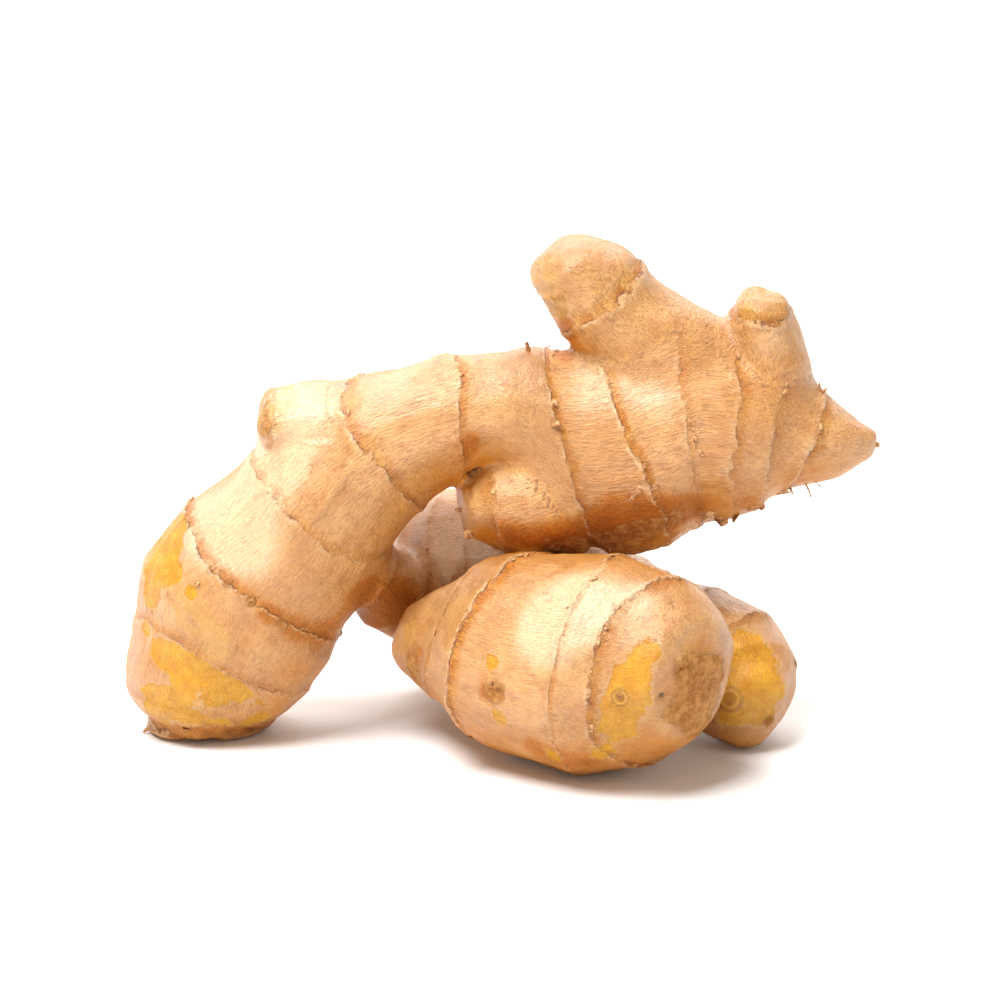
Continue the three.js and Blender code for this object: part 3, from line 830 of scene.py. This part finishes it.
def new_piece(name, faces_of, material):
    """A piece from corners in millimetres and faces, riding on the root."""
    corners, faces = faces_of
    mesh = bpy.data.meshes.new(name)
    mesh.from_pydata([tuple(c * MM for c in p) for p in corners], [], faces)
    mesh.update()
    piece = bpy.data.objects.new(name, mesh)
    bpy.context.scene.collection.objects.link(piece)
    mesh.materials.append(material)
    make_current(piece)
    bpy.ops.object.shade_smooth()
    return piece


def add_shred(corners, faces, chance, start, normal, along, width, reach):
    """One torn bit of dry scale leaf: a thin closed wedge, thicker where it hangs on the skin."""
    sideways = along.cross(normal).normalized()
    lift = chance.uniform(0.1, 0.5) * reach
    sway = chance.uniform(-0.6, 0.6) * reach
    first = len(corners)
    for row, (out, shrink, thick) in enumerate(((-0.3, 1, 0.5), (0.45, 0.85, 0.2), (1, 0.35, 0.1))):
        for edge in (-0.5, 0, 0.5):
            jag = chance.uniform(-0.15, 0.25) * reach * (row > 0)
            swing = edge * width * shrink + sway * max(out, 0) ** 2
            point = start + along * (out * reach + jag) + sideways * swing
            height = 0.14 + lift * max(out, 0) ** 1.6 - 0.25 * (row == 0)
            corners.append(point + normal * height)
            corners.append(point + normal * (height - thick * 0.45))
    top = [[first + (row * 3 + column) * 2 for column in range(3)] for row in range(3)]
    for row in range(2):
        for column in range(2):
            face = [top[row][column], top[row][column + 1], top[row + 1][column + 1], top[row + 1][column]]
            faces.append(face)
            faces.append([i + 1 for i in reversed(face)])
    border = [*top[0], top[1][2], *reversed(top[2]), top[1][0]]
    for a, b in zip(border, border[1:] + border[:1]):
        faces.append([a, a + 1, b + 1, b])


# How many shreds each millimetre of a fully marked ring has.
SHREDS_PER_MM = 0.26
# Larger loose shreds: where each hangs, which way it points, its width and its reach.
LOOSE_SHREDS = [
    ((31, -12, 61), (-1, 0, -0.9), 1.6, 3.4), ((34, -12, 62), (-0.3, 0, -1), 2, 2),
    ((70, 0, 79), (0.3, 0, 1), 2, 1.6), ((-64, -11, 39), (0.4, 0, -1), 1.6, 0.8),
    ((62, -3, 57), (1, 0, -0.5), 2.4, 2), ((46, -7, 52), (0.5, 0, -1), 3, 2),
    ((48, -3, 51), (0.7, -0.2, -0.8), 3.6, 2.4), ((52, -3, 52), (0.1, -0.2, -1), 3, 1.6),
    ((-69, -9, 3), (0.3, 0, 1), 2, 1.2),
]


def ring_spots(skin_tree, chance):
    """Random places just before a growth ring, in clusters: the place, its normal, and the way to the tip."""
    for number, lobe in enumerate(lobes.values()):
        for at, strength in lobe.rings:
            k = int(np.abs(lobe.length - at).argmin())
            around = 2 * math.pi * (np.linalg.norm(lobe.across[k]) + lobe.deep[k]) / 2
            for _ in range(int(around * SHREDS_PER_MM * strength)):
                turn = chance.uniform(0, 2 * math.pi)
                guess = lobe.middle[k] + lobe.across[k] * math.cos(turn)
                guess = guess + (lobe.front[k] * lobe.deep[k] + lobe.along[k] * lobe.lean[k]) * math.sin(turn)
                if lattice_noise([guess], 6, 111)[0] < 0:
                    continue
                near, normal, _, gap = skin_tree.find_nearest(Vector(guess * MM))
                if near is None or gap > 2.5 * MM or near.z < 2 * MM:
                    continue
                found, ring = read_places(np.array([near]) / MM)[:2]
                if found[0] != number:
                    continue
                along = Vector(lobe.along[k])
                along = (along - normal * along.dot(normal)).normalized()
                start = Vector(near) / MM - along * (float(ring[0]) + 0.3)
                start, normal, _, _ = skin_tree.find_nearest(start * MM)
                yield start / MM, normal, along


def shreds(skin_tree, chance):
    """Small torn bits along the rings, and the larger loose ones."""
    corners, faces = [], []
    for start, normal, along in ring_spots(skin_tree, chance):
        width, reach = chance.uniform(0.5, 2.2), chance.uniform(0.3, 1.1)
        add_shred(corners, faces, chance, start, normal, along, width, reach)
    for at, way, width, reach in LOOSE_SHREDS:
        start, normal, _, _ = skin_tree.find_nearest(Vector(at) * MM)
        way = Vector(way)
        way = (way - normal * way.dot(normal)).normalized()
        add_shred(corners, faces, chance, start / MM, normal, way, width, reach)
    return corners, faces


def tapered_fibre(corners, faces, points, radii, sides=7):
    """Adds a closed tapering tube along points to corners and faces."""
    first = len(corners)
    for i, (p, r) in enumerate(zip(points, radii)):
        ahead = points[min(i + 1, len(points) - 1)] - points[max(i - 1, 0)]
        ahead.normalize()
        side = ahead.orthogonal().normalized()
        other = ahead.cross(side)
        for j in range(sides):
            turn = 2 * math.pi * j / sides
            corners.append(p + side * (r * math.cos(turn)) + other * (r * math.sin(turn)))
    for i in range(len(points) - 1):
        for j in range(sides):
            a, b = first + i * sides + j, first + i * sides + (j + 1) % sides
            faces.append([a, b, b + sides, a + sides])
    faces.append([first + j for j in reversed(range(sides))])
    faces.append([first + (len(points) - 1) * sides + j for j in range(sides)])


# Dry root ends and hairs: where each starts near the skin, which way it points, its length and its thickness.
FIBRES = [
    ((7, 1, 88), (-0.3, -0.2, 1), 1.6, 0.6), ((49, -2, 51), (0.4, -0.2, -1), 1.2, 1.7),
    ((57, -2, 55), (0.5, -0.2, -1), 0.9, 1.1), ((67, -1, 59), (0.9, -0.3, -0.6), 2.6, 0.25),
    ((69, -1, 60), (1, -0.2, -0.4), 2.2, 0.22), ((64, -2, 58), (0.7, -0.3, -1), 1.8, 0.3),
    ((71, 0, 79), (0.6, -0.3, 1), 1.4, 0.4), ((-7, -3, 47), (-0.6, -0.4, -0.8), 1.4, 1.5),
    ((-12, -2, 52), (-1, -0.3, 0), 1, 0.6), ((-80, 2, 2), (-0.3, -0.3, -0.6), 1, 0.5),
    ((82, 1, 67), (1, -0.2, -0.2), 0.8, 0.9), ((-1.5, -35, 23.5), (-0.4, -1, 0.2), 0.7, 1.1),
    ((25.2, -46.5, 24.8), (-0.2, -1, 0.1), 0.5, 0.8),
]


def root_fibres(skin_tree, chance):
    corners, faces = [], []
    for at, way, length, thick in FIBRES:
        near, normal, _, _ = skin_tree.find_nearest(Vector(at) * MM)
        near = near / MM
        way = (Vector(way).normalized() + normal * 0.6).normalized()
        bend = Vector((chance.uniform(-1, 1), chance.uniform(-1, 1), chance.uniform(-1, 1))) * 0.35
        points, radii = [], []
        for i in range(7):
            t = i / 6
            points.append(near - normal * 0.6 + way * (t * (length + 0.6)) + bend * (t * t * length))
            radii.append(thick * (1 - 0.4 * t**1.5) * chance.uniform(0.85, 1.1))
        tapered_fibre(corners, faces, points, radii)
    return corners, faces


skin = remeshed_skin()
shape_skin(skin)
skin.data.materials.append(ginger_skin())
make_current(skin)
bpy.ops.object.shade_smooth()
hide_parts("rhizome")

bpy.context.view_layer.update()
skin_tree = BVHTree.FromObject(skin, bpy.context.evaluated_depsgraph_get())
chance = random.Random(SEED)
torn = new_piece("scale_shreds", shreds(skin_tree, chance), dry_shred())
fibres = new_piece("root_fibres", root_fibres(skin_tree, chance), root_fibre())
for piece in (skin, torn, fibres):
    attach(piece, "root")


def studio_sweep():
    """A pale floor that curves up into a wall behind the root."""
    bend, wall, top, half = 0.5, 1.7, 1.8, 3.0
    profile = [(-3.0, 0.0), (wall - bend, 0.0)]
    profile += [
        (wall - bend + bend * math.sin(a), bend - bend * math.cos(a))
        for a in (math.pi / 2 * i / 12 for i in range(1, 13))
    ]
    profile.append((wall, top))
    mesh = bpy.data.meshes.new("floor")
    corners = [(x, y, z) for y, z in profile for x in (-half, half)]
    faces = [(2 * i, 2 * i + 1, 2 * i + 3, 2 * i + 2) for i in range(len(profile) - 1)]
    mesh.from_pydata(corners, [], faces)
    floor = bpy.data.objects.new("floor", mesh)
    bpy.context.scene.collection.objects.link(floor)
    make_current(floor)
    bpy.ops.object.shade_smooth()
    s = Shader("pale_floor")
    cloud = s.noise(s.node("TexCoord").outputs["Object"], 3.0, 2.0)
    white = s.mix(cloud, (0.87, 0.87, 0.87, 1), (0.89, 0.89, 0.89, 1))
    mesh.materials.append(s.finish(Base_Color=white, Roughness=0.7, Specular_IOR_Level=0.2))


# Square lamps: the place, what each points at, its side in metres, its power in watts and its colour.
LIGHTS = {
    "key": ((-0.46, -0.42, 1.42), (0, 0, 0.05), 0.75, 39, (1, 1, 1)),
    "fill": ((-0.2, -1.4, 0.4), (0, 0, 0.04), 0.6, 2.7, (1, 0.9, 0.76)),
    "right": ((1.1, -0.7, 0.8), (0.05, 0, 0.06), 0.7, 2.4, (1, 0.95, 0.88)),
    "side": ((-1.2, 0.5, 0.4), (-0.02, 0.02, 0.03), 0.7, 1.6, (1, 0.96, 0.9)),
    "wall": ((0, 0.7, 1.3), (0, 1.7, 0.4), 1.2, 38, (1, 1, 1)),
}
SURROUNDING_COLOUR = (1, 0.94, 0.85, 1)
SURROUNDING_STRENGTH = 0.32


def add_lights():
    for name, (place, aim, size, power, colour) in LIGHTS.items():
        lamp = bpy.data.lights.new(name, "AREA")
        lamp.shape, lamp.size, lamp.energy, lamp.color = "SQUARE", size, power, colour
        piece = bpy.data.objects.new(name, lamp)
        bpy.context.scene.collection.objects.link(piece)
        piece.location = place
        piece.rotation_euler = (Vector(aim) - Vector(place)).to_track_quat("-Z", "Y").to_euler()
    world = bpy.data.worlds.new("studio")
    bpy.context.scene.world = world
    world.use_nodes = True
    background = world.node_tree.nodes["Background"]
    background.inputs["Color"].default_value = SURROUNDING_COLOUR
    background.inputs["Strength"].default_value = SURROUNDING_STRENGTH


# The photograph's view: a long lens in millimetres, metres away, degrees down, and the height it looks at.
LENS, AWAY, DOWN, AIM_HEIGHT = 100, 0.6, 14, 56.6


def set_camera():
    down = math.radians(DOWN)
    target = Vector((SHIFT[0], SHIFT[1], AIM_HEIGHT)) * MM
    lens = bpy.data.cameras.new("camera")
    lens.lens, lens.sensor_width, lens.clip_start = LENS, 36, 0.01
    camera = bpy.data.objects.new("camera", lens)
    bpy.context.scene.collection.objects.link(camera)
    camera.location = target - Vector((0, math.cos(down), -math.sin(down))) * AWAY
    camera.rotation_euler = (math.pi / 2 - down, 0, 0)
    bpy.context.scene.camera = camera


studio_sweep()
add_lights()
bpy.context.scene.view_settings.view_transform = "Standard"
set_camera()
